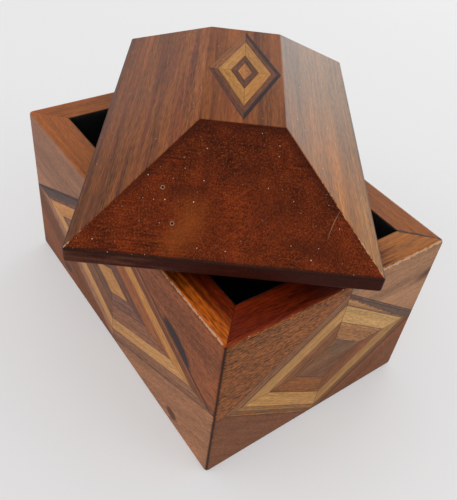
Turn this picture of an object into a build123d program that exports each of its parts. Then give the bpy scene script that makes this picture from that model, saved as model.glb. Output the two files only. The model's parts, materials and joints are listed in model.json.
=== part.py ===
"""Wooden puzzle box: mitred marquetry walls, a hip-roof lid that lifts off, and a hidden pin lock.

Millimetres, Z up. X runs along the box, Y across it. The origin is under the middle of the base, on the
face that the box stands on. The lid lies askew across the rim, standing on its locating tongue.
"""

import os
from math import hypot

from build123d import *

# Base
box_length = 112.0
box_width = 76.0
wall_height = 57.0
wall_thickness = 9.5
box_edge_radius = 1.2
bottom_thickness = 5.0

# Lining, a sheet glued to each wall and to the floor
felt_thickness = 0.8
felt_below_rim = 0.3

# Lid, a hip roof with a short upright band and a flat top a little off the middle, and the tongue that
# drops into the base
lid_height = 25.0
lid_band_height = 4.3
lid_top_length = 53.6
lid_top_width = 21.4
lid_top_shift_x = 0.6
lid_top_shift_y = 1.2
lid_edge_radius = 0.8
tongue_thickness = 5.7
tongue_clearance = 0.5
tongue_lead_in = 0.8

# Where the lid lies when it is off its seat
lid_turn = -37.0
lid_shift_x = -3.0
lid_shift_y = 4.5

# Pin lock, one pin in each end wall
pin_diameter = 3.0
pin_length = 7.5
pin_clearance = 0.1
pin_recess = 0.2
pin_end_chamfer = 0.4
pin_engagement = 2.5
felt_hole_clearance = 0.4

# Nested diamonds: the margin outside them, the width of each strip from the outside inwards, and how far
# the end walls' diamonds sit to the right of the panel's middle and below it, seen from outside
panel_margin = 1.3
long_wall_strips = {
    "dark_stringing": 0.8,
    "brown_strips": 3.5,
    "light_strips": 4.7,
    "red_strips": 5.9,
    "dark_strips": 4.9,
}
end_wall_strips = {
    "dark_stringing": 0.8,
    "brown_strips": 2.6,
    "light_strips": 5.4,
    "red_strips": 5.9,
}
end_diamond_shift = 2.2
end_diamond_drop = 2.2
lid_strips = {
    "dark_stringing": 1.1,
    "red_strips": 1.45,
    "light_strips": 3.25,
    "dark_strips": 1.75,
}
lid_inlay_depth = 2.5
lid_inlay_end_margin = 1.3
lid_inlay_side_margin = 0.6

# Sizes that follow from those above
inner_length = box_length - 2 * wall_thickness
inner_width = box_width - 2 * wall_thickness
tongue_length = inner_length - 2 * (felt_thickness + tongue_clearance)
tongue_width = inner_width - 2 * (felt_thickness + tongue_clearance)
bore_radius = pin_diameter / 2 + pin_clearance
bore_depth = pin_length + pin_recess
socket_depth = pin_engagement + pin_recess
lock_height = wall_height - tongue_thickness / 2

QUADRANTS = ((1, 1), (-1, 1), (-1, -1), (1, -1))
ON_TOP = (Align.CENTER, Align.CENTER, Align.MIN)
HANGING = (Align.CENTER, Align.CENTER, Align.MAX)
AGAINST_WALL = (Align.CENTER, Align.MIN, Align.MIN)


def save(node, solids):
    """Write a node's solids to its own file."""
    export_step(Compound(children=list(solids)), f"parts/{node}.step")


def solids_of(shape):
    """The separate solids of a shape, in a fixed order."""
    return list(shape.solids())


def nested_diamonds(half_length, half_height, widths):
    """Half-diagonals of the lines between the strips, from the outermost line inwards."""
    reach = half_length * half_height / hypot(half_length, half_height)
    lines = [(half_length, half_height)]
    inset = 0.0
    for width in widths:
        inset += width
        share = 1 - inset / reach
        lines.append((half_length * share, half_height * share))
    return lines


def strip_outlines(outer, inner):
    """Four strips between two diamonds, mitred where they meet on the centre lines."""
    outlines = []
    for side, up in QUADRANTS:
        outlines.append(
            Polygon(
                (side * outer[0], 0),
                (0, up * outer[1]),
                (0, up * inner[1]),
                (side * inner[0], 0),
                align=None,
            )
        )
    return outlines


def heart_outline(line):
    """The diamond inside the innermost strips."""
    return Polygon((line[0], 0), (0, line[1]), (-line[0], 0), (0, -line[1]), align=None)


def wedge_outlines(length, height, line):
    """Four corner wedges outside the outermost diamond, drawn large enough to pass the panel's edges."""
    outlines = []
    for side, up in QUADRANTS:
        outlines.append(
            Polygon(
                (side * length, up * height),
                (0, up * height),
                (0, up * line[1]),
                (side * line[0], 0),
                (side * length, 0),
                align=None,
            )
        )
    return outlines


def mitred_board(length, distance):
    """The space of one wall: its outer face at y = -distance, its ends cut at 45 degrees."""
    block = Box(length, 2 * distance, wall_height, align=ON_TOP)
    block = fillet(block.edges(), box_edge_radius)
    half = length / 2
    outside = wall_thickness
    plan = Polygon(
        (-half - outside, -distance - outside),
        (half + outside, -distance - outside),
        (half - wall_thickness, -distance + wall_thickness),
        (-half + wall_thickness, -distance + wall_thickness),
        align=None,
    )
    return block & extrude(plan, wall_height, dir=(0, 0, 1))


def lock_plane(distance):
    """On an end wall's inner face, at the middle of the closed lid's tongue, facing into the wall."""
    return Plane(origin=(0, -distance + wall_thickness, lock_height), x_dir=(1, 0, 0), z_dir=(0, -1, 0))


def panel_pieces(length, distance, strips, is_end):
    """One wall's pieces by name: wedges, strips and heart, cut from the wall's mitred board."""
    board = mitred_board(length, distance)
    centre = (0, -distance, wall_height / 2)
    if is_end:
        board -= lock_plane(distance) * Cylinder(bore_radius, bore_depth, align=ON_TOP)
        centre = (end_diamond_shift, -distance, wall_height / 2 - end_diamond_drop)
    face = Plane(origin=centre, x_dir=(1, 0, 0), z_dir=(0, -1, 0))
    lines = nested_diamonds(length / 2 - panel_margin, wall_height / 2 - panel_margin, strips.values())

    def cut(outlines):
        pieces = []
        for outline in outlines:
            prism = face * extrude(outline, wall_thickness, both=True)
            pieces += solids_of(board & prism)
        return pieces

    pieces = {"wedges": cut(wedge_outlines(length, wall_height, lines[0]))}
    for name, outer, inner in zip(strips, lines, lines[1:]):
        pieces[name] = cut(strip_outlines(outer, inner))
    pieces["heart"] = cut([heart_outline(lines[-1])])
    return pieces


def roof_profile(foot, top, shift):
    """A section through the roof, its top off the middle by the shift, drawn in by the edge radius."""
    outline = Polygon(
        (-foot / 2, 0),
        (foot / 2, 0),
        (foot / 2, lid_band_height),
        (shift + top / 2, lid_height),
        (shift - top / 2, lid_height),
        (-foot / 2, lid_band_height),
        align=None,
    )
    return offset(outline, -lid_edge_radius, kind=Kind.INTERSECTION)


def lid_envelope():
    """The lid's hip roof with every edge rounded: two crossed profiles, drawn in and grown again."""
    along = roof_profile(box_length, lid_top_length, lid_top_shift_x)
    across = roof_profile(box_width, lid_top_width, lid_top_shift_y)
    long_prism = extrude(Plane.XZ * along, box_width, both=True)
    cross_prism = extrude(Plane.YZ * across, box_length, both=True)
    return offset(long_prism & cross_prism, lid_edge_radius, kind=Kind.ARC)


def lid_pieces():
    """The lid's pieces by name, with the underside of the block at z = 0."""
    envelope = lid_envelope()
    half_length = lid_top_length / 2 - lid_inlay_end_margin
    half_width = lid_top_width / 2 - lid_inlay_side_margin
    lines = nested_diamonds(half_length, half_width, lid_strips.values())
    top = Plane(origin=(lid_top_shift_x, lid_top_shift_y, lid_height - lid_inlay_depth))

    def cut(outlines):
        pieces = []
        for outline in outlines:
            prism = extrude(top * outline, lid_inlay_depth, dir=(0, 0, 1))
            pieces += solids_of(envelope & prism)
        return pieces

    pocket = extrude(top * heart_outline(lines[0]), lid_inlay_depth, dir=(0, 0, 1))
    pieces = {"block": solids_of(envelope - pocket)}
    for name, outer, inner in zip(lid_strips, lines, lines[1:]):
        pieces[name] = cut(strip_outlines(outer, inner))
    pieces["heart"] = cut([heart_outline(lines[-1])])
    pieces["tongue"] = [lid_tongue()]
    return pieces


def lid_tongue():
    """The locating tongue under the lid, eased along its lower edges, with a pin socket in each end."""
    tongue = Box(tongue_length, tongue_width, tongue_thickness, align=HANGING)
    tongue = chamfer(tongue.edges().group_by(Axis.Z)[0], tongue_lead_in)
    for side in (-1, 1):
        mouth = Plane(origin=(side * tongue_length / 2, 0, -tongue_thickness / 2), z_dir=(-side, 0, 0))
        tongue -= mouth * Cylinder(bore_radius, socket_depth, align=ON_TOP)
    return tongue.solid()


def lock_pin(distance):
    """One loose pin, lying outwards in its bore, clear of the tongue."""
    pin = Cylinder(pin_diameter / 2, pin_length, align=ON_TOP)
    pin = chamfer(pin.edges(), pin_end_chamfer)
    return lock_plane(distance) * Location((0, 0, pin_recess)) * pin


def wall_lining(length, distance, bored):
    """A lining sheet on one wall's inner face, standing on the floor's lining."""
    foot = bottom_thickness + felt_thickness
    height = wall_height - felt_below_rim - foot
    sheet = Box(length, felt_thickness, height, align=AGAINST_WALL)
    sheet = Location((0, -distance + wall_thickness, foot)) * sheet
    if bored:
        hole_radius = bore_radius + felt_hole_clearance
        sheet -= lock_plane(distance) * Cylinder(hole_radius, 2 * felt_thickness)
    return sheet


def main():
    os.makedirs("parts", exist_ok=True)

    # Walls, each built at the front and turned to its side, with its lining and, in the ends, its pin
    walls = (
        ("front_wall", 0, False),
        ("right_end", 90, True),
        ("back_wall", 180, False),
        ("left_end", 270, True),
    )
    for wall, turn, is_end in walls:
        length = box_width if is_end else box_length
        distance = box_length / 2 if is_end else box_width / 2
        strips = end_wall_strips if is_end else long_wall_strips
        to_side = Rot(0, 0, turn)
        for name, solids in panel_pieces(length, distance, strips, is_end).items():
            save(f"{wall}_{name}", [to_side * solid for solid in solids])
        lining_length = inner_width - 2 * felt_thickness if is_end else inner_length
        save(f"{wall}_lining", solids_of(to_side * wall_lining(lining_length, distance, is_end)))
        if is_end:
            save(f"{wall}_lock_pin", solids_of(to_side * lock_pin(distance)))

    # Floor
    save("bottom_board", solids_of(Box(inner_length, inner_width, bottom_thickness, align=ON_TOP)))
    floor_lining = Box(inner_length, inner_width, felt_thickness, align=ON_TOP)
    save("floor_lining", solids_of(Location((0, 0, bottom_thickness)) * floor_lining))

    # Lid, laid across the rim
    laid = Location((lid_shift_x, lid_shift_y, wall_height + tongue_thickness), (0, 0, lid_turn))
    for name, solids in lid_pieces().items():
        save(f"lid_{name}", [laid * solid for solid in solids])


main()
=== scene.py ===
# %% [markdown]
# # A puzzle box of many woods
#
# The box is a small chest with thick mitred walls and a heavy hip-roof lid, which lies turned across the
# rim. Each wall is glued up from strips of many woods, mitred into nested diamonds and sanded flush. The
# solids are finished already, so what is left is the grain and colour of each strip, the lacquer, the
# worn edges and the felt.

# %% Load the frame
import json
import math
import random
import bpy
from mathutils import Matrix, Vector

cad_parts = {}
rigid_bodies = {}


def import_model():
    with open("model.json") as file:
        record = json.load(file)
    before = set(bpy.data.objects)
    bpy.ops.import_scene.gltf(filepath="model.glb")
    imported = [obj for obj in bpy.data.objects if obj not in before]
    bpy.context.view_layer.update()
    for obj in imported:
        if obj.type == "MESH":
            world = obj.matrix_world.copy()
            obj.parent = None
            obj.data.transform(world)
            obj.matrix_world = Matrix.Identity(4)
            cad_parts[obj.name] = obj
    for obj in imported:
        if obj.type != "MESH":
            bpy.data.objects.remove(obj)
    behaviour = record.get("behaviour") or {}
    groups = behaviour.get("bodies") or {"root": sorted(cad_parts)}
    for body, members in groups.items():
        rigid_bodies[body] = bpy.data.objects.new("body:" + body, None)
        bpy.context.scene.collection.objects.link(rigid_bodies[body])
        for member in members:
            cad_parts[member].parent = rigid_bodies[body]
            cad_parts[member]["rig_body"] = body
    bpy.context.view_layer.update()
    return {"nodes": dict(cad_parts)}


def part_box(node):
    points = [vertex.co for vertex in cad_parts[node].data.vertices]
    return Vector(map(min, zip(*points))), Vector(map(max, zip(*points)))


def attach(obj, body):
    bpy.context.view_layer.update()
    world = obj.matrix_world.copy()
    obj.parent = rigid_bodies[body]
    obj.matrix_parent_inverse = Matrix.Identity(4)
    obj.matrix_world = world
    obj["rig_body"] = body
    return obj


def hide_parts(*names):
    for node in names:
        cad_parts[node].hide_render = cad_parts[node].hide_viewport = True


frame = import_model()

from types import SimpleNamespace

import bpy
from mathutils import Matrix, Vector, noise
from mathutils.geometry import delaunay_2d_cdt

MM = 0.001
UP = Vector((0, 0, 1))
nodes = frame["nodes"]

# %% [markdown]
# ## Where the strips are
#
# A strip's grain runs along it, so the shader has to know where each strip lies. The diamonds could be
# painted as pictures, but a formula stays sharp at any distance. All that it needs, such as the lines
# between the strips, is read from the solids.

# %% Measure the walls
WALL_TURNS = {"front_wall": 0, "right_end": 90, "back_wall": 180, "left_end": 270}
RINGS = ("dark_stringing", "brown_strips", "light_strips", "red_strips", "dark_strips", "heart")


def span(points):
    """The lowest and the highest corner round some points."""
    return Vector(map(min, *points)), Vector(map(max, *points))


def panel_box(node, turn):
    """A wall node's box in millimetres, turned to the front: along, inwards and up."""
    back = Matrix.Rotation(math.radians(-turn), 3, "Z")
    return span([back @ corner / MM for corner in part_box(node)])


class Diamonds:
    """Nested diamonds: their rings, middle and slant, and the lines between the rings."""

    def __init__(self, rings, spans):
        self.rings = rings
        low, high = spans[-1]
        self.middle = (low + high) / 2
        slant = math.atan2(high.y - low.y, high.x - low.x)
        self.sine, self.cosine = math.sin(slant), math.cos(slant)
        self.lines = [self.line(*corners) for corners in spans] + [0.0]

    def line(self, low, high):
        """How far a ring's outer line lies from the middle, square to the strip."""
        return max(high.x - self.middle.x, self.middle.x - low.x) * self.sine

    def bounds(self, ring):
        """A ring's outer and inner line."""
        number = self.rings.index(ring)
        return self.lines[number : number + 2]


class Panel(Diamonds):
    """A wall's outer face: its turn, its size and its diamonds, in millimetres."""

    def __init__(self, wall):
        self.turn = WALL_TURNS[wall]
        low, high = panel_box(f"{wall}_wedges", self.turn)
        self.face, self.thickness, self.height = low.y, high.y - low.y, high.z
        self.half_length = (base_corner.x if self.turn % 180 == 0 else base_corner.y) / MM
        rings = [ring for ring in RINGS if f"{wall}_{ring}" in nodes]
        boxes = [panel_box(f"{wall}_{ring}", self.turn) for ring in rings]
        super().__init__(rings, [(low.xz, high.xz) for low, high in boxes])


base_nodes = [name for name in nodes if nodes[name]["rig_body"] == "base"]
base_corner = span([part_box(name)[1] for name in base_nodes])[1]
panels = {wall: Panel(wall) for wall in WALL_TURNS}
for wall, panel in panels.items():
    print(wall, [round(line, 2) for line in panel.lines], round(panel.middle.y, 2))

# %% [markdown]
# ## Where the lid lies
#
# The lid is turned on the rim, so its length and width aren't the box's. The widest upright face of its
# tongue, which is a plain board, looks straight across the lid and gives the turn. The roof's planes come
# from its widest faces.

# %% Measure the lid
UPRIGHT = 0.01
tongue = nodes["lid_tongue"].data
uprights = [face for face in tongue.polygons if abs(face.normal.z) < UPRIGHT]
across = max(uprights, key=lambda face: face.area).normal
lid_along = Vector((across.y, -across.x, 0))
lid_along = lid_along if lid_along.x > 0 else -lid_along
lid_across = Vector((-lid_along.y, lid_along.x, 0))


def lid_axes(vector):
    """A vector of the frame, measured along, across and up the lid."""
    return Vector((vector.dot(lid_along), vector.dot(lid_across), vector.z))


low, high = span([lid_axes(vertex.co / MM) for vertex in tongue.vertices])
middle = (low + high) / 2
lid_middle = (lid_along * middle.x + lid_across * middle.y) * MM
lid_middle.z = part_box("lid_block")[0].z


def on_lid(point):
    """A point in the lid's own millimetres, from the middle of its underside."""
    return lid_axes((point - lid_middle) / MM)


print(f"lid turned {math.degrees(math.atan2(lid_along.y, lid_along.x)):.1f} degrees")

# %% Measure the roof
SAME_WAY = 0.95
# About which way each kind of face looks: along, across and up the lid
ROOF_FACES = {
    "end slope": (0.7, 0, 1), "long slope": (0, 0.7, 1), "end band": (1, 0, 0), "long band": (0, 1, 0)
}


def roof_plane(along, across, up):
    """The widest face that looks about this way: its normal and its distance, on the lid."""
    wanted = (lid_along * along + lid_across * across + UP * up).normalized()
    faces = [face for face in nodes["lid_block"].data.polygons if face.normal.dot(wanted) > SAME_WAY]
    widest = max(faces, key=lambda face: face.area)
    normal = lid_axes(widest.normal)
    return normal, normal.dot(on_lid(widest.center))


roof_planes = {
    kind: [roof_plane(side * along, side * across, up) for side in (1, -1)]
    for kind, (along, across, up) in ROOF_FACES.items()
}
roof_planes["top"] = [(UP, on_lid(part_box("lid_block")[1]).z)]
for name, planes in roof_planes.items():
    print(name, [round(reach, 2) for normal, reach in planes])

# %% Measure the inlay
LID_RINGS = ("dark_stringing", "red_strips", "light_strips", "dark_strips", "heart")
rings = [nodes[f"lid_{ring}"].data.vertices for ring in LID_RINGS]
inlay = Diamonds(LID_RINGS, [span([on_lid(vertex.co).xy for vertex in ring]) for ring in rings])
print("lid inlay", [round(line, 2) for line in inlay.lines])

# %% [markdown]
# ## Formulas that become shader nodes
#
# A shader is a net of small nodes, and a long formula drawn node by node is hard to read. A little class
# lets it be written as arithmetic: each field stands for one node's output, and adding two fields lays
# down the node that does it. A few words, such as ramp and blend, lay a node with its settings.

# %% Fields
def step(operation):
    """A function that lays one step of arithmetic."""
    return lambda *values: maths(operation, *values)


class Field:
    """A number, vector or colour that varies over a surface: the output of one shader node."""

    __add__ = __radd__ = step("ADD")
    __mul__ = __rmul__ = step("MULTIPLY")
    __sub__ = step("SUBTRACT")
    __truediv__ = step("DIVIDE")
    __abs__ = step("ABSOLUTE")

    def __init__(self, socket):
        self.socket = socket

    def __rsub__(self, other):
        return maths("SUBTRACT", other, self)


def feed(socket, value):
    """Link a field to an input, or set the input to a plain value. None leaves it as it is."""
    if isinstance(value, Field):
        socket.id_data.links.new(value.socket, socket)
    elif value is not None:
        socket.default_value = (*value, 1.0) if socket.type == "RGBA" else value


def label(name):
    """A name from the script as the name of a socket."""
    return name.replace("_", " ")


def tune(node, **values):
    """Feed a node's inputs by name."""
    for name, value in values.items():
        feed(node.inputs[label(name)], value)


def tree_of(values):
    """The node tree of the first field among some values."""
    return next(value.socket.id_data for value in values if isinstance(value, Field))


def lay(kind, *values, tree=None, **settings):
    """Lay one shader node, with its inputs in order."""
    made = (tree or tree_of(values)).nodes.new("ShaderNode" + kind)
    for setting, value in settings.items():
        setattr(made, setting, value)
    for socket, value in zip(made.inputs, values):
        feed(socket, value)
    return made


def maths(operation, *values):
    return Field(lay("Math", *values, operation=operation).outputs[0])


print("fields ready")

# %% Words
smaller = step("MINIMUM")
larger = step("MAXIMUM")


def above(value):
    """1 where a value is above zero, and 0 elsewhere."""
    return maths("GREATER_THAN", value, 0.0)


def between(mask, under, over):
    """One value where the mask is 0, and another where it is 1."""
    return under + mask * (over - under)


def ramp(value, start, end):
    """0 at start and beyond it, 1 at end, with an eased rise between."""
    return Field(lay("MapRange", value, start, end, interpolation_type="SMOOTHSTEP").outputs[0])


def stack(*values):
    """Three values as one vector."""
    return Field(lay("CombineXYZ", *values).outputs[0])


def split(vector):
    """A vector's three values."""
    return [Field(socket) for socket in lay("SeparateXYZ", vector).outputs]


def moved(vector, by):
    return Field(lay("VectorMath", vector, by, operation="ADD").outputs[0])


def lit(colour, amount):
    """A colour, brighter or darker by an amount."""
    return Field(lay("VectorMath", colour, None, None, amount, operation="SCALE").outputs[0])


def blend(mask, under, over):
    """One colour over another where the mask is 1."""
    spare = [None] * 5
    return Field(lay("Mix", mask, *spare, under, over, data_type="RGBA").outputs[2])


def cloud(vector, along, sideways, detail=3.0, roughness=0.5, distortion=0.0):
    """Soft random values about 0.5. They change this often in a millimetre, along and sideways."""
    drawn_out = lay("VectorMath", vector, (along, sideways, sideways), operation="MULTIPLY")
    made = lay("TexNoise", Field(drawn_out.outputs[0]))
    tune(made, Scale=1.0, Detail=detail, Roughness=roughness, Distortion=distortion)
    return Field(made.outputs[0])


def swing(field, amount):
    """A cloud's rise and fall about zero, times an amount."""
    return (field - 0.5) * amount


def position(tree):
    """The point on the surface in the frame's millimetres."""
    return lit(Field(lay("TexCoord", tree=tree).outputs["Object"]), 1 / MM)


def facing(tree):
    """The way the surface faces, as three values."""
    return split(Field(lay("TexCoord", tree=tree).outputs["Normal"]))


print("words ready")

# %% [markdown]
# ## Shared effects as node groups
#
# Grain, wear and joint lines come back on many pieces. Each is a node group with named inputs and
# outputs, built once and placed in each material with its own values.

# %% Groups
SOCKETS = {"VALUE": "NodeSocketFloat", "VECTOR": "NodeSocketVector", "RGBA": "NodeSocketColor"}
ANYWHERE = Vector((0, 0, 0))
ANY_COLOUR = (0.5, 0.5, 0.5)


def open_group(title, **inputs):
    """Start a group. A number makes a value input, a Vector a vector input and a tuple a colour input."""
    tree = bpy.data.node_groups.new(title, "ShaderNodeTree")
    for name, value in inputs.items():
        kind = "VECTOR" if isinstance(value, Vector) else "RGBA" if isinstance(value, tuple) else "VALUE"
        socket = tree.interface.new_socket(label(name), in_out="INPUT", socket_type=SOCKETS[kind])
        if kind == "VALUE":
            socket.default_value = value
    entry = tree.nodes.new("NodeGroupInput")
    return tree, [Field(socket) for socket in entry.outputs[: len(inputs)]]


def close_group(tree, **results):
    """Give a group its outputs."""
    for name, field in results.items():
        tree.interface.new_socket(label(name), in_out="OUTPUT", socket_type=SOCKETS[field.socket.type])
    tune(tree.nodes.new("NodeGroupOutput"), **results)
    print(f"group {tree.name}: {len(tree.nodes)} nodes")


def place(group, tree=None, **values):
    """Place a group with its own values, and return its output, or its outputs by name."""
    made = (tree or tree_of(values.values())).nodes.new("ShaderNodeGroup")
    made.node_tree = group
    tune(made, **values)
    outputs = {socket.name.lower().replace(" ", "_"): Field(socket) for socket in made.outputs}
    return SimpleNamespace(**outputs) if len(outputs) > 1 else outputs.popitem()[1]


print("group tools ready")

# %% [markdown]
# ## Places on the box
#
# Two groups turn a point into places that a joiner would name: on a wall, along it, up it and in from its
# face, or on the lid. Both also fold the four quarters of their diamonds onto one, so that a single strip
# stands for all four.

# %% Place groups
def fold(side, rise, sine, cosine):
    """Places from a diamond's middle, on its strips, and from their mitres. Each strip has a number."""
    return {
        "Side": side,
        "Rise": rise,
        "Lengthwise": abs(rise) * sine - abs(side) * cosine,
        "Square": abs(side) * sine + abs(rise) * cosine,
        "Mitre": smaller(abs(side), abs(rise)),
        "Strip": maths("SIGN", side) + maths("SIGN", rise) * 2,
    }


wall_place, (sine, cosine, face, half_length, middle_along, middle_up, *slant) = open_group(
    "place on a wall", Sine=0.0, Cosine=1.0, Face=0.0, Half_Length=0.0,
    Middle_Along=0.0, Middle_Up=0.0, Strip_Sine=0.0, Strip_Cosine=1.0,
)
x, y, z = split(position(wall_place))
along, inwards = cosine * x + sine * y, cosine * y - sine * x - face
close_group(
    wall_place, X=x, Y=y, Along=along, Up=z, Inwards=inwards,
    Corner=(half_length - abs(along) - inwards) * math.sqrt(0.5),
    **fold(along - middle_along, z - middle_up, *slant),
)

lid_place, _ = open_group("place on the lid")
x, y, z = split(position(lid_place))
out_x, out_y = x - lid_middle.x / MM, y - lid_middle.y / MM
along = out_x * lid_along.x + out_y * lid_along.y
across = out_x * lid_across.x + out_y * lid_across.y
face_x, face_y, face_up = facing(lid_place)
close_group(
    lid_place, Along=along, Across=across, Up=z - lid_middle.z / MM, Upwards=face_up,
    On_End=ramp(abs(face_x * lid_along.x + face_y * lid_along.y), 0.3, 0.5),
    On_Right=ramp(face_x * lid_across.x + face_y * lid_across.y, 0.2, 0.5),
    On_Top=ramp(face_up, 0.88, 0.95),
    **fold(along - inlay.middle.x, across - inlay.middle.y, inlay.sine, inlay.cosine),
)

# %% [markdown]
# ## Wood
#
# Wood is a bundle of long fibres. Random clouds, drawn out along the grain, give broad bands, narrow
# streaks, fine fibres and grit. Short dark dashes are pores, and thin dark lines are the late wood of
# slow years. One group makes them all, and each piece says how strong each is. A second one gives each
# quarter of a diamond its colour.

# %% Wood groups
SEED_STEP = (31.7, 11.3, 7.9)
DARK_SHARE = 0.3
QUARTERS = ("Upper_Right", "Upper_Left", "Lower_Left", "Lower_Right")

wood, (vector, seed, colour, contrast, fineness, pores, lines) = open_group(
    "wood", Vector=ANYWHERE, Seed=0.0, Colour=ANY_COLOUR, Contrast=1.0, Fine_Grain=1.0, Pores=0.3, Lines=0.0
)
grain = moved(vector, stack(*[seed * step for step in SEED_STEP]))
bands = cloud(grain, 0.012, 0.11, detail=2.0, distortion=0.6)
streaks = cloud(grain, 0.06, 0.8, roughness=0.6)
fibres = cloud(grain, 0.22, 2.4, roughness=0.7)
grit = cloud(grain, 0.9, 3.6, detail=1.0)
dashes = ramp(cloud(grain, 0.5, 2.8, detail=1.0), 0.58, 0.67) * pores
late = ramp(cloud(grain, 0.008, 0.8, detail=2.0), 0.54, 0.62) * lines
broad = swing(bands, 1.2) + swing(streaks, 0.9)
fine = swing(fibres, 2.6) + swing(grit, 3.0)
tone = broad * contrast + fine * fineness
dark = lit(colour, DARK_SHARE)
shaded = blend(late, lit(colour, 1 + tone), dark)
close_group(wood, Colour=blend(dashes, shaded, dark), Height=fibres * 0.5 - dashes, Tone=tone)


def by_quarter(side, rise, values, mix):
    """One of four values, from the upper right round to the lower right, by a diamond's quarter."""
    upper = mix(above(side), values[1], values[0])
    lower = mix(above(side), values[2], values[3])
    return mix(above(rise), lower, upper)


quarters, (side, rise, *colours) = open_group(
    "colour by quarter", Side=0.0, Rise=0.0, **dict.fromkeys(QUARTERS, ANY_COLOUR)
)
close_group(quarters, Colour=by_quarter(side, rise, colours, blend))

# %% [markdown]
# ## Lines, wear and marks
#
# Glued pieces show a hair-thin dark line where they meet. Rubbed edges lose their lacquer in patches and
# show pale wood. Knots, pits and stains are oval marks, and dust settles in the pores. Each is a mask,
# and the material picks the colour that goes there.

# %% Mark groups
WEAR_WIDTH = 0.24

joint_line, (gap, width) = open_group("joint line", Gap=1.0, Width=0.2)
close_group(joint_line, Mask=ramp(gap, width, width * 0.4))

edge_wear, (edge, vector, width, amount) = open_group(
    "edge wear", Edge=1.0, Vector=ANYWHERE, Width=WEAR_WIDTH, Amount=0.0
)
patches = cloud(vector, 0.55, 0.55, detail=4.0, roughness=0.75)
reach = width * (patches * 6.5 - 3.2 + amount)
close_group(edge_wear, Mask=ramp(edge, reach, reach * 0.55) * ramp(reach, 0.0, 0.12))

oval_mark, (side, rise, lean, length, width, softness) = open_group(
    "oval mark", Side=0.0, Rise=0.0, Lean=0.0, Length=1.0, Width=1.0, Softness=0.2
)
lean_cosine, lean_sine = maths("COSINE", lean), maths("SINE", lean)
long_way = (side * lean_cosine + rise * lean_sine) / length
short_way = (rise * lean_cosine - side * lean_sine) / width
far = maths("SQRT", long_way * long_way + short_way * short_way)
close_group(oval_mark, Mask=ramp(far, 1 + softness, 1 - softness))

dust, (vector, density) = open_group("dust", Vector=ANYWHERE, Density=0.3)
cells = lay("TexVoronoi", vector, voronoi_dimensions="2D")
tune(cells, Scale=0.45)
chance, size, _ = split(Field(cells.outputs["Color"]))
speck = ramp(Field(cells.outputs["Distance"]), size * size * 0.06 + 0.025, 0.01)
close_group(dust, Mask=speck * maths("LESS_THAN", chance, density))

# %% [markdown]
# ## Colours
#
# The box has no paint. Its colours are the woods, and one wood varies from strip to strip, so each ring
# lists a colour for each quarter, from the upper right round to the lower right. They are display values,
# because that is how a colour is picked.

# %% Palette
def display(*levels):
    """A display colour as the linear values that shaders use."""
    shares = [level / 255 for level in levels]
    return tuple(s / 12.92 if s <= 0.04045 else ((s + 0.055) / 1.055) ** 2.4 for s in shares)


def four(*colours):
    """A display colour for each quarter, or one for all of them."""
    return [display(*colour) for colour in colours] * (4 // len(colours))


LONG_WALL_WOODS = {
    "wedges": four((141, 77, 42), (152, 104, 78), (128, 67, 30), (164, 110, 76)),
    "dark_stringing": four((104, 56, 36), (72, 38, 24), (176, 116, 82), (134, 88, 62)),
    "brown_strips": four((148, 83, 44), (112, 62, 48), (160, 108, 74), (137, 90, 61)),
    "light_strips": four((196, 132, 68), (191, 129, 71), (191, 135, 80), (199, 143, 85)),
    "red_strips": four((150, 84, 40), (130, 80, 54), (124, 76, 46), (136, 84, 56)),
    "dark_strips": four((113, 65, 46), (100, 60, 46), (122, 78, 54), (127, 81, 63)),
    "heart": four((175, 119, 64)),
}
END_WALL_WOODS = {
    "wedges": four((157, 112, 79), (134, 77, 34), (124, 73, 43), (126, 68, 26)),
    "dark_stringing": four((98, 66, 52), (146, 98, 64), (164, 100, 42), (104, 60, 34)),
    "brown_strips": four((176, 121, 73), (136, 87, 53), (151, 101, 55), (127, 77, 32)),
    "light_strips": four((193, 147, 89), (181, 132, 76), (200, 145, 80), (168, 120, 64)),
    "red_strips": four((165, 111, 64), (134, 81, 42), (130, 74, 24), (120, 65, 24)),
    "heart": four((110, 76, 50), (119, 77, 44), (110, 68, 40), (104, 61, 30)),
}
LID_WOODS = {
    "dark_stringing": four((58, 38, 36), (64, 42, 38), (134, 84, 50), (92, 54, 40)),
    "red_strips": four((112, 64, 40), (112, 68, 46), (142, 90, 54), (124, 70, 42)),
    "light_strips": four((186, 126, 62), (178, 124, 66), (182, 128, 70), (192, 134, 64)),
    "dark_strips": four((112, 66, 44)),
    "heart": four((176, 114, 60)),
}
print(f"{len(LONG_WALL_WOODS) + len(END_WALL_WOODS) + len(LID_WOODS)} rings have their woods")

# %% [markdown]
# ## One finish for every piece
#
# All the pieces share one finish: a colour, a sheen, and a relief of a few hundredths of a millimetre
# where the fibres stand proud. It could be cut into the mesh, but it is far finer than a triangle, so it
# only bends the light. Lacquer is a clear coat on top.

# %% Finish for the woods
GRAIN_RELIEF = 0.02
SATIN_GLOSS = 0.12
LACQUER_ROUGHNESS = 0.36


def new_material(name):
    """A new material, its node tree and its shader."""
    material = bpy.data.materials.new(name)
    material.use_nodes = True
    return material, material.node_tree, material.node_tree.nodes["Principled BSDF"]


def dress(node):
    """Give a node's object a new material, and return its tree and its shader."""
    material, tree, shader = new_material(node)
    slots = nodes[node].data.materials
    slots.clear()
    slots.append(material)
    return tree, shader


def finish(shader, colour, roughness, height, relief=GRAIN_RELIEF, gloss=SATIN_GLOSS, lacquer=0.0):
    """Give a shader its colour, roughness, fine relief in millimetres and lacquer."""
    tune(shader, Base_Color=colour, Roughness=roughness, Specular_IOR_Level=gloss)
    tune(shader, Coat_Weight=lacquer, Coat_Roughness=LACQUER_ROUGHNESS)
    bump = lay("Bump", tree=shader.id_data)
    tune(bump, Strength=1.0, Distance=relief * MM, Height=height)
    tune(shader, Normal=Field(bump.outputs[0]))


print("finish ready")

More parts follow.
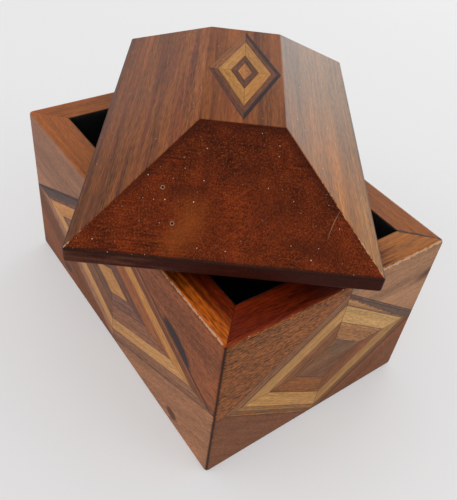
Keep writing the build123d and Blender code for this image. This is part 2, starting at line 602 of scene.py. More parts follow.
# %% [markdown]
# ## Strips and hearts
#
# A strip is a thin length of one wood, mitred at both ends, so its grain runs lengthwise. A picture of
# wood could be wrapped round each solid, but the wood group only has to be told which way is along. Two
# brown strips were sawn where pale wood meets dark, so they have a dark streak with a wavy edge.

# %% Wood of a ring
# How the figure of some rings differs from that of a plain strip
RING_FIGURES = {
    "dark_stringing": {"Lines": 0.5},
    "brown_strips": {"Lines": 0.6},
    "light_strips": {"Contrast": 0.6, "Fine_Grain": 0.36, "Pores": 0.12},
    "dark_strips": {"Lines": 0.3},
    "heart": {"Fine_Grain": 0.4},
}


def wall_woods(wall):
    """A wall's colours. The back and the left end have those of the walls opposite, turned half round."""
    woods = END_WALL_WOODS if wall.endswith("end") else LONG_WALL_WOODS
    if wall in ("back_wall", "left_end"):
        woods = {ring: colours[2:] + colours[:2] for ring, colours in woods.items()}
    return woods


def quarter_colour(at, woods):
    """The colour of the quarter that a point lies in."""
    return place(quarters, Side=at.side, Rise=at.rise, **dict(zip(QUARTERS, woods)))


def ring_wood(ring, vector, seed, colour):
    """A ring's wood, with its own figure."""
    figure = {"Fine_Grain": 0.55} | RING_FIGURES.get(ring, {})
    return place(wood, Vector=vector, Seed=seed, Colour=colour, **figure)


def ring_joint(at, diamonds, ring, width):
    """The joints round the strips of a ring. The heart has no mitres."""
    outer, inner = diamonds.bounds(ring)
    gap = smaller(outer - at.square, at.square - inner)
    return place(joint_line, Gap=gap if ring == "heart" else smaller(gap, at.mitre), Width=width)


print(f"{len(RING_FIGURES)} rings have a figure of their own")

# %% Strip materials
# Dark glue in the joints; along the lid's foot the same colour is painted shade
GLUE_AND_SHADE = display(38, 22, 16)
DARK_STREAK = display(72, 52, 46)
STRIP_STRETCH = 0.5
# Which upper brown strip has the streak: -1 for the left one and 1 for the right one
STREAKED = {"front_wall": -1, "right_end": 1}


def wall_point(tree, panel):
    """Where a point lies on a wall and among its diamonds."""
    turn = math.radians(panel.turn)
    return place(
        wall_place, tree, Sine=math.sin(turn), Cosine=math.cos(turn), Face=panel.face,
        Half_Length=panel.half_length, Middle_Along=panel.middle.x, Middle_Up=panel.middle.y,
        Strip_Sine=panel.sine, Strip_Cosine=panel.cosine,
    )


def dark_streak(at, panel, hand):
    """Where the upper brown strip on one hand is dark."""
    outer, inner = panel.bounds("brown_strips")
    wobble = cloud(stack(at.lengthwise, 0.0, 0.0), 0.35, 1.0)
    tipwards = ramp(abs(at.side), 0.0, panel.half_length * 0.7)
    wavy_line = outer - 0.6 - tipwards * (outer - inner) * 0.55 + swing(wobble, 2.0)
    return ramp(at.square - wavy_line, -0.35, 0.15) * above(at.side * hand) * above(at.rise)


def dress_strips(wall, ring, panel):
    """The strips of one ring of a wall, or its heart."""
    tree, shader = dress(f"{wall}_{ring}")
    at = wall_point(tree, panel)
    number = panel.rings.index(ring)
    if ring == "heart":
        vector, seed = stack(at.side, at.rise, at.inwards), number + panel.turn / 90
    else:
        vector = stack(at.lengthwise * STRIP_STRETCH, at.square, at.inwards)
        seed = at.strip + (number * 5 + panel.turn / 90)
    timber = ring_wood(ring, vector, seed, quarter_colour(at, wall_woods(wall)[ring]))
    colour = timber.colour
    if wall in STREAKED and ring == "brown_strips":
        colour = blend(dark_streak(at, panel, STREAKED[wall]) * 0.85, colour, DARK_STREAK)
    colour = blend(ring_joint(at, panel, ring, width=0.16) * 0.7, colour, GLUE_AND_SHADE)
    finish(shader, colour, 0.46 - timber.tone * 0.1, timber.height)


for wall, panel in panels.items():
    for ring in panel.rings:
        dress_strips(wall, ring, panel)
print(sum(len(panel.rings) for panel in panels.values()), "rings and hearts dressed")

# %% [markdown]
# ## Corner wedges
#
# The wedges fill the corners of each panel. The upper ones have their grain level and the lower ones
# along the diamond, so the grain's vector changes over at the middle. Knots could be dented into the
# mesh, but they were sanded flush, so they are only marks in the colour.

# %% Wedge faces
BLACK_KNOT = display(24, 24, 32)
BROWN_KNOT = display(86, 46, 26)
CORNER = display(62, 32, 22)
CORNER_WIDTH = 0.35
# How strong the fine grain is on each wedge, in the order of the quarters
WEDGE_GRAIN = {"front_wall": (0.6, 0.25, 0.35, 0.4), "right_end": (0.32, 1.05, 0.45, 0.5)}
PLAIN_GRAIN = (0.5, 0.5, 0.35, 0.35)
# Knots and stains: the middle along and up the wall, lean, half length, half width, softness and colour
WALL_MARKS = {
    "front_wall": (
        ((37.0, 38.3), -0.55, 7.8, 2.9, 0.2, BLACK_KNOT),
        ((37.0, 5.0), 0.0, 2.6, 2.0, 0.35, BROWN_KNOT),
        ((-34.0, 5.0), 0.2, 3.4, 1.6, 0.4, DARK_STREAK),
    ),
    "right_end": (((36.0, 45.0), 0.3, 4.4, 1.5, 0.8, BROWN_KNOT),),
    "back_wall": (((-31.0, 9.0), -0.4, 5.0, 1.8, 0.4, BROWN_KNOT),),
}


def oval(along, up, middle, lean, length, width, softness):
    """The mask of an oval mark."""
    side, rise = along - middle[0], up - middle[1]
    return place(oval_mark, Side=side, Rise=rise, Lean=lean, Length=length, Width=width, Softness=softness)


def wedge_face(wall, panel, at, rough):
    """The wedges' outer face, with its knots and dark corners: its colour and its height."""
    strength = by_quarter(at.side, at.rise, WEDGE_GRAIN.get(wall, PLAIN_GRAIN), between)
    run = between(above(at.rise), at.lengthwise, at.side)
    cross = between(above(at.rise), at.square, at.rise)
    timber = place(
        wood, Vector=stack(run, cross, at.inwards), Seed=at.strip + panel.turn / 90 * 3,
        Colour=quarter_colour(at, wall_woods(wall)["wedges"]), Fine_Grain=strength, Pores=strength,
    )
    colour = timber.colour
    for *shape, mark in WALL_MARKS.get(wall, ()):
        colour = blend(oval(at.along + swing(rough, 2.0), at.up, *shape) * 0.9, colour, mark)
    return blend(ramp(at.corner - rough * 0.4, CORNER_WIDTH, 0.0) * 0.85, colour, CORNER), timber.height


print(f"wedge faces ready, with marks on {len(WALL_MARKS)} walls")

# %% [markdown]
# ## The rim
#
# The wedges' upper ends are the rim that the lid closes on, lacquered with the most care. A thin cap
# could be laid on top, but it is the same wood, so the material asks which way the surface faces. Round
# the near corner light and shade are painted into the rim's colour: a painted orange glow of light
# bounced from the lid, painted deep red shade towards the compartment and the lid's painted dark shadow,
# in streaks that follow the grain.

# %% Rim
RIM = {
    "front_wall": display(164, 88, 30), "right_end": display(177, 102, 28),
    "back_wall": display(158, 84, 15), "left_end": display(169, 89, 23),
}
# Painted light near the corner: an orange glow of bounced light, deep red shade and the lid's shadow
RIM_PAINTED_BOUNCE_LIGHT = display(205, 101, 24)
RIM_PAINTED_SHADE = display(112, 33, 6)
RIM_PAINTED_SHADOW = display(56, 17, 6)
NEAR_CORNER = (panels["front_wall"].half_length, -panels["right_end"].half_length)
# Millimetres in from the face where the painted orange bounce light turns to painted deep red shade
PAINTED_SHADE_FROM = {"front_wall": (2.0, 9.4), "right_end": (-6.0, 2.0)}
# Millimetres from the near corner where the lid's painted shadow sets in, and where all painted light ends
PAINTED_SHADOW_FROM = {"front_wall": (16.0, 30.0), "right_end": (18.0, 36.0)}
PLAIN_FROM = (44.0, 58.0)


def rim_top(wall, panel, at):
    """The rim's colour, with light and shade painted near the corner, and a mask of where it is plain."""
    from_corner = stack(at.x - NEAR_CORNER[0], at.y - NEAR_CORNER[1], 0.0)
    far = Field(lay("VectorMath", from_corner, operation="LENGTH").outputs["Value"])
    figure = cloud(stack(at.along, at.inwards, at.up), 0.03, 0.6)
    streaked = far + swing(figure, 60)
    plain = ramp(streaked, *PLAIN_FROM)
    colour = RIM[wall]
    if wall in PAINTED_SHADE_FROM:
        # Painted shade: deep red towards the compartment, over the painted orange glow of bounced light
        deep = ramp(at.inwards + far * 0.1 + swing(figure, 8), *PAINTED_SHADE_FROM[wall])
        colour = blend(deep, RIM_PAINTED_BOUNCE_LIGHT, RIM_PAINTED_SHADE)
        # Painted shadow of the lid, further from the corner
        colour = blend(ramp(streaked, *PAINTED_SHADOW_FROM[wall]) * 0.5, colour, RIM_PAINTED_SHADOW)
        colour = blend(plain, colour, RIM[wall])
    vector = stack(at.along * STRIP_STRETCH, at.inwards, at.up)
    timber = place(wood, Vector=vector, Seed=panel.turn / 90, Colour=colour, Fine_Grain=0.6 - plain * 0.28)
    return timber.colour, plain


print("rim ready")

# %% [markdown]
# ## Joints and wear on the wedges
#
# The mitre at one corner of the rim has opened, so its joint is wide and ragged there. The rim's outer
# edge has lost its lacquer where hands take hold. Both could be cut as grooves, but at this size a dark
# or a pale line is all that the eye gets.

# %% Wedge materials
BARE_WOOD = display(212, 174, 142)
BOX_EDGE_RADIUS = 1.2
WEDGE_JOINT = 0.2
# Where the mitre has opened, and how much wider its joint is at the inside
OPENED_X, OPENED_Y = (30.0, 46.0), (18.0, 28.0)
OPENED_JOINT = 0.5
# How wide the wear is, and between which places along a wall it grows
WORN_WIDTH = {"right_end": 0.38}
WORN_FROM = {"front_wall": (-10, 25), "right_end": (0, 20), "back_wall": (10, 50), "left_end": (0, 35)}


def wedge_joints(panel, at, rough, on_top):
    """The dark lines where the wedges meet the strips and each other."""
    opened = on_top * ramp(at.x, *OPENED_X) * ramp(at.y, *OPENED_Y)
    gap = smaller(at.square - panel.lines[0], smaller(at.mitre, at.corner + swing(rough, opened)))
    width = WEDGE_JOINT + opened * ramp(at.inwards, 0.0, panel.thickness) * OPENED_JOINT
    return place(joint_line, Gap=gap, Width=width) * (0.8 - (on_top - opened) * 0.4)


def dress_wedges(wall, panel):
    """The four wedges of a wall, with its side of the rim."""
    tree, shader = dress(f"{wall}_wedges")
    at = wall_point(tree, panel)
    everywhere = stack(at.along, at.up, at.inwards)
    rough = cloud(everywhere, 0.5, 0.5)
    face, height = wedge_face(wall, panel, at, rough)
    rim, plain = rim_top(wall, panel, at)
    on_top = ramp(facing(tree)[2], 0.5, 0.8)
    colour = blend(on_top, face, rim)
    colour = blend(wedge_joints(panel, at, rough, on_top), colour, GLUE_AND_SHADE)
    worn = place(
        edge_wear,
        Edge=larger(panel.height - at.up, at.inwards) - BOX_EDGE_RADIUS * (1 - math.sqrt(0.5)),
        Vector=everywhere,
        Width=WORN_WIDTH.get(wall, WEAR_WIDTH),
        Amount=ramp(at.along, *WORN_FROM[wall]) * 1.4 - 0.6,
    )
    colour = blend(worn * 0.75, colour, BARE_WOOD)
    finish(shader, colour, 0.48 + worn * 0.2, height, lacquer=on_top * plain * 0.3)


for wall, panel in panels.items():
    dress_wedges(wall, panel)
print(f"wedges of {len(panels)} walls dressed")

# %% [markdown]
# ## The lid's slopes
#
# The lid is one block of wood, so one grain runs through it. The long slopes show it as streaks. The end
# slopes cut across it and drink more lacquer, so they are darker. One material asks which way the surface
# faces, where three would have to be matched along every edge. The right slope's own colours are painted
# sheen: golden towards the near end, pale at the foot and darker at the top. The upright band under the
# slopes is painted dark as shade.

# %% Lid slopes
LID_LEFT = display(134, 73, 28)
LID_LEFT_DARK = display(104, 48, 24)
# Painted sheen: the right slope is the same wood as the left, in paler and more golden copies
LID_RIGHT_PAINTED_SHEEN = display(124, 80, 30)
LID_RIGHT_FORE_PAINTED_SHEEN = display(148, 87, 17)
LID_RIGHT_FOOT_PAINTED_SHEEN = display(172, 116, 58)
LID_END = display(105, 38, 10)
# Painted shade: the upright band under the slopes, darker than their wood
LID_BAND_PAINTED_SHADE = display(54, 17, 8)
LID_BAND_PAINTED_SHADE_PALE = display(84, 47, 33)
# Heights of the foot and the top: the right slope's painted sheen is pale at its foot and dark at its top,
# and the left slope is darker at its foot and lighter at its top
FOOT, TOP = (10.5, 5.5), (17.0, 23.0)
# Where the right slope's painted sheen turns golden and its foot pales, along the lid, and where the
# band's painted shade pales, across it
GOLDEN_FROM, PALE_FOOT_FROM, PALE_BAND_FROM = (-12.0, 28.0), (4.0, 40.0), (-5.0, -50.0)


def roof_colour(at):
    """The colour of the slopes, the top and the upright band, before the grain, with painted sheen and
    shade.
    """
    streaks = cloud(stack(at.along, at.across, at.up), 0.02, 0.5)
    level = at.up + swing(streaks, 8)
    foot, top = ramp(level, *FOOT), ramp(level, *TOP)
    # Painted sheen on the right slope: golden towards the near end, pale at the foot, darker at the top
    right = blend(ramp(at.along + swing(streaks, 40), *GOLDEN_FROM), LID_RIGHT_PAINTED_SHEEN, LID_RIGHT_FORE_PAINTED_SHEEN)
    right = blend(foot * ramp(at.along, *PALE_FOOT_FROM) * 0.8, right, LID_RIGHT_FOOT_PAINTED_SHEEN)
    right = lit(right, 1 + swing(streaks, 0.8) - top * 0.38)
    left = blend(ramp(streaks, 0.44, 0.62) * 0.7, LID_LEFT, LID_LEFT_DARK)
    # The left slope is darker at its foot and lighter towards its top, and the flat top is darker
    left = lit(left, 1 - foot * 0.16 + top * 0.36 - at.on_top * 0.26)
    colour = blend(at.on_end, blend(at.on_right, left, right), LID_END)
    # Painted shade on the upright band, paler towards the negative side across the lid
    lines = cloud(stack(at.across, at.up, at.along), 0.12, 0.9)
    pale = ramp(at.across + swing(lines, 110), *PALE_BAND_FROM)
    return blend(ramp(at.upwards, 0.5, 0.2), colour, blend(pale, LID_BAND_PAINTED_SHADE, LID_BAND_PAINTED_SHADE_PALE))


print("slopes ready")

# %% [markdown]
# ## The lid's ends
#
# An end shows how it was made: level lines from the saw, curved scratches from sanding, and grit where
# the cut fibres took up the lacquer. Its pale golden grit is partly painted glints. The near end also has
# soft patches, two pits and a fine hair. All are finer than the mesh, so they are layers of tone and
# colour.

# %% Lid ends
LID_EDGE = display(52, 18, 8)
LID_PATCH = display(148, 78, 28)
SCRATCH_LEAN = 0.4
SCRATCH_BEND = 0.006
# Marks on the near end: the middle across and up, lean, half length and half width
END_SHADES = (
    ((-11.3, 14.2), 0.0, 4.2, 0.9),
    ((-6.5, 18.0), 1.5, 3.6, 1.2),
    ((11.0, 12.8), 0.2, 5.5, 2.4),
    ((3.0, 17.5), 0.1, 4.0, 1.2),
    ((20.0, 7.5), -0.1, 7.0, 1.2),
)
GOLDEN_PATCH = ((-10.8, 8.9), 0.5, 4.4, 3.0)
HAIR, HAIR_BEND = ((24.9, 11.8), 0.98, 2.9, 0.05), 0.06
END_PITS = ((-16.5, 14.3), (-13.4, 9.3))
PIT, PIT_RIM = (0.0, 0.34, 0.21), (0.0, 0.48, 0.3)


def saw_lines(at):
    """The tone of the saw's lines and of the scratches. Both come and go in patches."""
    flat = stack(at.across, at.up, 0.0)
    lines = cloud(flat, 0.09, 4.0, detail=2.0)
    patches = ramp(cloud(flat, 0.07, 0.12, detail=1.0), 0.42, 0.62)
    along_lean = at.across * math.cos(SCRATCH_LEAN) + at.up * math.sin(SCRATCH_LEAN)
    cross_lean = at.up * math.cos(SCRATCH_LEAN) - at.across * math.sin(SCRATCH_LEAN)
    arcs = stack(along_lean, cross_lean - along_lean * along_lean * SCRATCH_BEND, 0.0)
    scratches = cloud(arcs, 0.05, 3.2, detail=2.0)
    scratched = ramp(cloud(flat, 0.06, 0.1, detail=1.0), 0.44, 0.56)
    return swing(lines, 2.4) * patches + swing(scratches, 1.7) * scratched


def end_figure(at, colour, on_end, mottle):
    """Both ends' figure: saw lines, mottle, runs and grit, partly painted glints, darker towards the top.
    """
    runs = cloud(stack(at.up, at.across, at.along), 0.04, 0.2, detail=2.0)
    tone = saw_lines(at) + swing(mottle, 0.9) + swing(runs, 1.2) - ramp(at.up, 9.0, 23.0) * 0.3
    colour = lit(colour, 1.06 + tone * on_end)
    grit = cloud(stack(at.across, at.up, at.along), 2.6, 2.6, detail=1.0)
    # Pale golden grit: the cut fibres' colour, and partly painted glints
    colour = blend(ramp(grit, 0.54, 0.68) * on_end * 0.46, colour, LID_PATCH)
    return blend(ramp(grit, 0.45, 0.32) * on_end * 0.55, colour, LID_EDGE)


def end_marks(at, colour, on_end, mottle):
    """The marks on the near end alone."""
    here = on_end * above(at.along)

    def mark(middle, *shape, bend=0.0):
        rise = at.up - middle[1]
        return here * oval(at.across - rise * rise * bend, at.up, middle, *shape)

    for shade in END_SHADES:
        colour = blend(mark(*shade, 0.9) * 0.4, colour, LID_EDGE)
    colour = blend(mark(*GOLDEN_PATCH, 0.95) * ramp(mottle, 0.3, 0.6) * 0.5, colour, LID_PATCH)
    for pit in END_PITS:
        colour = blend(mark(pit, *PIT_RIM, 0.25) * 0.6, colour, BARE_WOOD)
        colour = blend(mark(pit, *PIT, 0.25), colour, LID_EDGE)
    return blend(mark(*HAIR, 0.5, bend=HAIR_BEND) * 0.5, colour, BARE_WOOD)


print(f"{len(END_SHADES)} shades and {len(END_PITS)} pits ready for the near end")

# %% [markdown]
# ## The lid's edges and dust
#
# Where two planes of the roof meet there is an edge, so a point's distance from it is the larger of those
# from the two planes. The ends are darker along their hips and ridge, a line of painted shade runs along
# the roof's foot, and the hips are worn pale near the corners. Pits and dust lie on whatever faces up.

# %% Lid edges
DUST = display(255, 244, 228)
# Millimetres along the lid where wear begins, on the left and the right hips, and where it is full
WORN_LEFT, WORN_RIGHT, WORN_END = 42.0, 28.0, 52.0


def inside(at, kind):
    """How far a point lies inside the nearest plane of one kind."""
    gaps = [reach - (at.along * n.x + at.across * n.y + at.up * n.z) for n, reach in roof_planes[kind]]
    return smaller(*gaps) if len(gaps) > 1 else gaps[0]


def lid_edges(at, colour):
    """The lid's colour with darker edges, painted shade along its foot and worn edges, and the wear's mask.
    """
    end_slope, long_slope, end_band, long_band, top = (inside(at, kind) for kind in roof_planes)
    hip = larger(end_slope, long_slope)
    ridge = larger(top, smaller(end_slope, long_slope))
    foot = smaller(larger(end_slope, end_band), larger(long_slope, long_band))
    # The ends are darker along their hips and ridge
    border = ramp(smaller(hip, ridge), 2.4, 0.2) * at.on_end * ramp(at.up, 7.0, 17.0)
    colour = blend(border * 0.6, colour, LID_EDGE)
    # Painted shade: a dark line along the roof's foot, where the slopes meet the band
    colour = blend(ramp(foot, 0.8, 0.2) * 0.8, colour, GLUE_AND_SHADE)
    worn_from = WORN_LEFT - ramp(at.across, -1.0, 1.0) * (WORN_LEFT - WORN_RIGHT)
    worn = place(
        edge_wear,
        Edge=smaller(hip, larger(end_band, long_band)),
        Vector=stack(at.along, at.across, at.up),
        Amount=ramp(abs(at.along), worn_from, WORN_END) * 1.1 - 0.55 - ramp(at.across, 1.0, -1.0) * 0.25,
    )
    return blend(worn * 0.7, colour, BARE_WOOD), worn


def lid_specks(at, colour):
    """Pits and dust, more of both in the end grain."""
    faces_up = ramp(at.upwards, 0.3, 0.6)
    pits = place(dust, Vector=stack(at.across, at.along, 0.0), Density=at.on_end * 0.6 + 0.1)
    specks = place(dust, Vector=stack(at.along, at.across, 0.0), Density=at.on_end * 0.09 + 0.07)
    colour = blend(pits * faces_up * 0.7, colour, LID_EDGE)
    return blend(specks * faces_up * 0.85, colour, DUST)


print("edges and dust ready")

# %% Lid block
LID_STRETCH = 0.36


def dress_lid_block():
    """The lid's block, with lacquer on all but its ends."""
    tree, shader = dress("lid_block")
    at = place(lid_place, tree)
    timber = place(
        wood, Vector=stack(at.along * LID_STRETCH, at.across, at.up), Seed=4.0, Colour=roof_colour(at),
        Contrast=1.5 - at.on_right * 0.4 - at.on_end * 1.1,
        Fine_Grain=0.55 - at.on_top * 0.2 - at.on_end * 0.13, Pores=0.2,
    )
    on_end = at.on_end * ramp(at.upwards, 0.2, 0.5)
    mottle = cloud(stack(at.across, at.up, at.along), 0.11, 0.11)
    colour = end_figure(at, timber.colour, on_end, mottle)
    colour = end_marks(at, colour, on_end, mottle)
    colour, worn = lid_edges(at, colour)
    colour = lid_specks(at, colour)
    dull = (1 - at.on_right) * ramp(at.along, -10.0, 40.0)
    lacquer = (1 - at.on_end) * (0.28 - dull * 0.2)
    finish(shader, colour, 0.5 + worn * 0.2, timber.height, gloss=0.08, lacquer=lacquer)
    print(f"lid block dressed with {len(tree.nodes)} nodes")


dress_lid_block()

# %% [markdown]
# ## The lid's inlay
#
# The diamond in the lid's top is a small copy of those on the walls, so it takes the same recipe. Its
# joints are fainter, because the lacquer on the top has filled them.

# %% Lid inlay
def dress_inlay(ring):
    """One ring of the lid's inlay, or its heart."""
    tree, shader = dress(f"lid_{ring}")
    at = place(lid_place, tree)
    vector = stack(at.lengthwise * STRIP_STRETCH, at.square, at.up)
    seed = at.strip + LID_RINGS.index(ring) * 5
    timber = ring_wood(ring, vector, seed, quarter_colour(at, LID_WOODS[ring]))
    colour = blend(ring_joint(at, inlay, ring, width=0.14) * 0.4, timber.colour, GLUE_AND_SHADE)
    finish(shader, colour, 0.45, timber.height)


for ring in LID_RINGS:
    dress_inlay(ring)
print(f"{len(LID_RINGS)} rings of the inlay dressed")

# %% [markdown]
# ## Plain boards and steel
#
# The bottom and the lid's tongue are plain boards without lacquer, so they are the wood group and little
# else. The lock's pins are cut from drawn steel rod. Their turning marks could be cut as grooves, but
# bands of two greys show the same thing.

# %% Boards and pins
BOARD = display(128, 84, 54)
STEEL_DARK = display(150, 148, 144)
STEEL_PALE = display(186, 184, 180)


def dress_board(node, grain_of, seed, roughness):
    """A bare board. A function of the tree gives the place that its grain follows."""
    tree, shader = dress(node)
    timber = place(wood, Vector=grain_of(tree), Seed=seed, Colour=BOARD, Pores=0.6)
    finish(shader, timber.colour, roughness, timber.height, relief=0.03, gloss=0.3)


def along_lid(tree):
    """A place on the lid as one vector."""
    at = place(lid_place, tree)
    return stack(at.along, at.across, at.up)


def dress_pin(node):
    """A steel pin with fine turning marks round it."""
    tree, shader = dress(node)
    tune(shader, Metallic=1.0)
    x, y, z = split(position(tree))
    marks = cloud(stack(x, z, y), 9.0, 0.4, detail=2.0)
    finish(shader, blend(marks, STEEL_DARK, STEEL_PALE), 0.25 + marks * 0.2, marks, relief=0.005)


dress_board("bottom_board", position, 7.0, 0.62)
dress_board("lid_tongue", along_lid, 9.0, 0.6)
for side in ("left", "right"):
    dress_pin(f"{side}_end_lock_pin")
print("2 boards and 2 pins dressed")

# %% [markdown]
# ## Felt
#
# The compartment is lined with black felt, one sheet on each wall and one on the floor. A flat slab would
# look like card, so each sheet is a fine net of triangles, used twice, with a smooth random field that
# lifts its open side. An even net would show as rows, so its points are moved a little by chance.

# %% Felt net
FELT_STEP = 1.6
FELT_JITTER = 0.3
PIN_HOLE_SIDES = 20
INSIDE_ONLY = 1
SAME_POINT = 1e-5


def ring_edges(first, count):
    """The edges of a closed ring of points, as pairs of their numbers."""
    return [(first + i, first + (i + 1) % count) for i in range(count)]


def edge_points(width, height):
    """Points round a rectangle, evenly spaced on each side."""
    corners = [Vector(corner) for corner in ((0, 0), (width, 0), (width, height), (0, height))]
    points = []
    for start, end in zip(corners, corners[1:] + corners[:1]):
        count = max(1, round((end - start).length / FELT_STEP))
        points += [start.lerp(end, i / count) for i in range(count)]
    return points


def inner_points(width, height, draw):
    """Points in a rectangle, about a step apart and half a step clear of its sides."""
    margin = FELT_STEP / 2
    for column in range(1, round(width / FELT_STEP)):
        for row in range(1, round(height / FELT_STEP)):
            along = column + draw.uniform(-FELT_JITTER, FELT_JITTER)
            up = row + draw.uniform(-FELT_JITTER, FELT_JITTER)
            point = Vector((along, up)) * FELT_STEP
            if margin < point.x < width - margin and margin < point.y < height - margin:
                yield point


def felt_net(width, height, hole):
    """A flat net of triangles, with a round hole if hole gives its middle and radius."""
    points = edge_points(width, height)
    edges = ring_edges(0, len(points))
    if hole:
        middle, radius = hole
        angles = [2 * math.pi * i / PIN_HOLE_SIDES for i in range(PIN_HOLE_SIDES)]
        edges += ring_edges(len(points), PIN_HOLE_SIDES)
        points += [middle + Vector((math.cos(angle), math.sin(angle))) * radius for angle in angles]
    inner = inner_points(width, height, random.Random(len(points)))
    points += [point for point in inner if not hole or (point - middle).length > radius + FELT_STEP / 2]
    points, _, faces, *_ = delaunay_2d_cdt(points, edges, [], INSIDE_ONLY, SAME_POINT)
    if hole:
        centres = [sum((points[i] for i in face), Vector((0, 0))) / len(face) for face in faces]
        faces = [face for face, centre in zip(faces, centres) if (centre - middle).length > radius]
    return points, faces


print(f"felt net ready, in steps of {FELT_STEP} mm")

# %% Felt mesh
FELT_NAP = 0.12
FELT_EDGE_DROP = 0.3
# The two layers of the nap: how often each changes in a millimetre, and its share
NAP_LAYERS = ((0.9, 0.6), (0.25, 0.4))


def felt_mesh(name, corner, wide, tall, thickness, size, hole):
    """A closed sheet: the net twice, with a nap on one side and a wall round each border."""
    points, faces = felt_net(*size, hole)
    count = len(points)
    edges = dict.fromkeys(edge for face in faces for edge in zip(face, face[1:] + face[:1]))
    border = [edge for edge in edges if edge[::-1] not in edges]
    rim = {number for edge in border for number in edge}
    back = [corner + (wide * point.x + tall * point.y) * MM for point in points]
    front = []
    for number, point in enumerate(back):
        nap = sum(noise.noise(point / MM * scale) * share for scale, share in NAP_LAYERS)
        lift = thickness - FELT_NAP + nap * FELT_NAP - (FELT_EDGE_DROP if number in rim else 0.0)
        front.append(point + wide.cross(tall) * lift * MM)
    shell = [face[::-1] for face in faces]
    shell += [[number + count for number in face] for face in faces]
    shell += [[start, end, end + count, start + count] for start, end in border]
    mesh = bpy.data.meshes.new(name)
    mesh.from_pydata(back + front, [], shell)
    mesh.validate()
    mesh.shade_smooth()
    sheet = bpy.data.objects.new(name, mesh)
    bpy.context.scene.collection.objects.link(sheet)
    return sheet


print("felt mesh ready")

# %% [markdown]
# ## Lining the compartment
#
# Felt swallows light. Its fibres catch a little at a glancing angle, which is a shader's sheen, and
# threads of two blacks keep it from looking like a hole. Each sheet takes the place of a plain solid: a
# wall's is stretched on its wall and glued, and the floor's is laid on the bottom board.

# %% Felt sheets
FELT_DARK = (0.004, 0.004, 0.004)
FELT_PALE = (0.012, 0.014, 0.012)
PIN_HOLE_CLEARANCE = 0.5


def felt_material():
    """Black felt with fine fluff and wandering threads."""
    material, tree, shader = new_material("black_felt")
    point = position(tree)
    fluff = cloud(point, 2.5, 2.5, roughness=0.7)
    threads = cloud(point, 0.9, 0.9, detail=4.0, distortion=3.0)
    colour = blend(ramp(threads, 0.45, 0.75), FELT_DARK, FELT_PALE)
    finish(shader, colour, 0.95, fluff + threads, relief=0.15, gloss=0.1)
    tune(shader, Sheen_Weight=0.08, Sheen_Roughness=0.6)
    return material


def pin_hole(pin, turn, low, high):
    """The middle and radius of a pin's hole in a wall's sheet, or None where there is no pin."""
    if pin not in nodes:
        return None
    pin_low, pin_high = panel_box(pin, turn)
    middle = (pin_low + pin_high) / 2
    radius = (pin_high.z - pin_low.z) / 2 + PIN_HOLE_CLEARANCE
    return Vector((high.x - middle.x, middle.z - low.z)), radius


def lay_felt(sheet, node, size):
    """Put a sheet in the place of a lining's solid."""
    sheet.data.materials.append(felt)
    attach(sheet, "base")
    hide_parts(node)
    size[0] * MM
    size[1] * MM
    print(sheet.name, len(sheet.data.polygons), "faces")


felt = felt_material()
for wall, panel in panels.items():
    low, high = panel_box(f"{wall}_lining", panel.turn)
    forward = Matrix.Rotation(math.radians(panel.turn), 3, "Z")
    size = (high.x - low.x, high.z - low.z)
    corner = forward @ Vector((high.x, low.y, low.z)) * MM
    wide = forward @ Vector((-1, 0, 0))
    hole = pin_hole(f"{wall}_lock_pin", panel.turn, low, high)
    sheet = felt_mesh(f"{wall}_felt", corner, wide, UP, high.y - low.y, size, hole)
    lay_felt(sheet, f"{wall}_lining", size)

low, high = (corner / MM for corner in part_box("floor_lining"))
size = (high.x - low.x, high.y - low.y)
sheet = felt_mesh("floor_felt", low * MM, Vector((1, 0, 0)), Vector((0, 1, 0)), high.z - low.z, size, None)
lay_felt(sheet, "floor_lining", size)

# %% [markdown]
# ## Floor
#
# The box stands on a plain pale floor. A brighter one would throw too much light up at the walls, so it
# has a little glow, only for the camera and in reflections: it looks nearly white and lights the box like
# a pale grey table.

# %% Floor
FLOOR_SIZE = 4.0
FLOOR_COLOUR = (0.86, 0.86, 0.865)
FLOOR_GLOW = 0.3
WHITE = (1.0, 1.0, 1.0)
bpy.ops.mesh.primitive_plane_add(size=FLOOR_SIZE)
floor = bpy.context.object
floor.name = "floor"
material, tree, shader = new_material("pale_floor")
tune(shader, Base_Color=FLOOR_COLOUR, Roughness=0.9, Specular_IOR_Level=0.2)
path = lay("LightPath", tree=tree)
rays = [Field(path.outputs[f"Is {kind} Ray"]) for kind in ("Camera", "Glossy", "Transmission")]
seen = larger(larger(rays[0], rays[1]), rays[2])
glow = lay("Emission", WHITE, 1.0, tree=tree)
paler = lay("MixShader", seen * FLOOR_GLOW, Field(shader.outputs[0]), Field(glow.outputs[0]))
tune(tree.nodes["Material Output"], Surface=Field(paler.outputs[0]))
floor.data.materials.append(material)
print(f"floor laid, {FLOOR_SIZE} m wide")

# %% [markdown]
# ## Light
#
# The light is broad and soft, and its brightest panel stands behind the box, so that the far slope of the
# lid shines and the near end stays deep. A picture of a room could light the box too, but three panels
# and an even sky are easy to steer.

# %% Light
TARGET = Vector((0, 0, 0.04))
# Each panel's place, width and height in metres, and its brightness
PANELS = {
    "back_panel": ((-0.42, 0.85, 0.22), 0.55, 0.40, 2.9),
    "right_panel": ((0.75, 0.45, 0.50), 0.60, 0.60, 1.0),
    "front_panel": ((-0.45, -0.80, 0.55), 0.70, 0.70, 0.9),
}
SKY_STRENGTH = 0.70


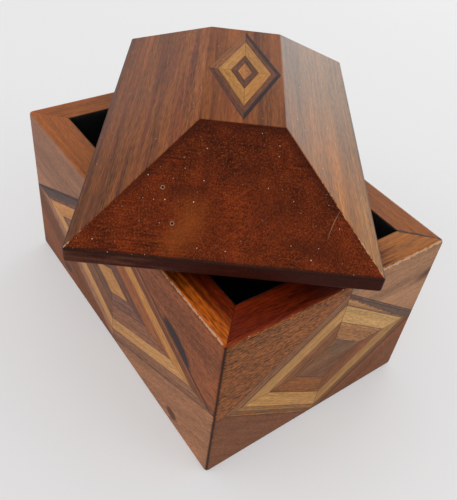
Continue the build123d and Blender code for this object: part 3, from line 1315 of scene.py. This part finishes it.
def soft_panel(name, stand, wide, tall, brightness):
    """A flat lamp that looks at the box. Its panel looks white at a brightness of 1."""
    lamp = bpy.data.lights.new(name, "AREA")
    lamp.shape = "RECTANGLE"
    lamp.size, lamp.size_y = wide, tall
    lamp.energy = brightness * math.pi * wide * tall
    holder = bpy.data.objects.new(name, lamp)
    holder.location = stand
    holder.rotation_euler = (TARGET - Vector(stand)).to_track_quat("-Z", "Y").to_euler()
    bpy.context.scene.collection.objects.link(holder)


for name, values in PANELS.items():
    soft_panel(name, *values)
world = bpy.data.worlds.new("studio")
bpy.context.scene.world = world
world.use_nodes = True
tune(world.node_tree.nodes["Background"], Color=WHITE, Strength=SKY_STRENGTH)
bpy.context.scene.view_settings.view_transform = "Standard"
print(f"{len(PANELS)} panels set")

# %% [markdown]
# ## Camera
#
# The camera looks down at the near corner from close by, rolled a little to one side. It could be aimed
# by eye, but then each edge would be a little off, so its place, angles and focal length were fitted to
# the box's edges.

# %% Camera
PHOTO_LONG_SIDE = 500
CAMERA_PLACE = Vector((121.42, -97.457, 168.261)) * MM
CAMERA_AZIMUTH, CAMERA_ELEVATION, CAMERA_ROLL = (math.radians(a) for a in (49.34, 42.62, 8.12))
CAMERA_FOCUS = 627.274
NEAREST_SEEN = 0.01

level, rise = math.cos(CAMERA_ELEVATION), math.sin(CAMERA_ELEVATION)
backwards = Vector((math.sin(CAMERA_AZIMUTH) * level, -math.cos(CAMERA_AZIMUTH) * level, rise))
level_right = (-backwards).cross(UP).normalized()
level_up = level_right.cross(-backwards)
turned = Matrix.Rotation(CAMERA_ROLL, 3, backwards)
columns = (turned @ level_right, turned @ level_up, backwards)
lens = bpy.data.cameras.new("camera")
lens.lens = CAMERA_FOCUS / PHOTO_LONG_SIDE * lens.sensor_width
lens.clip_start = NEAREST_SEEN
camera = bpy.data.objects.new("camera", lens)
camera.matrix_world = Matrix.Translation(CAMERA_PLACE) @ Matrix(columns).transposed().to_4x4()
bpy.context.scene.collection.objects.link(camera)
bpy.context.scene.camera = camera
print(f"lens {lens.lens:.1f} mm")
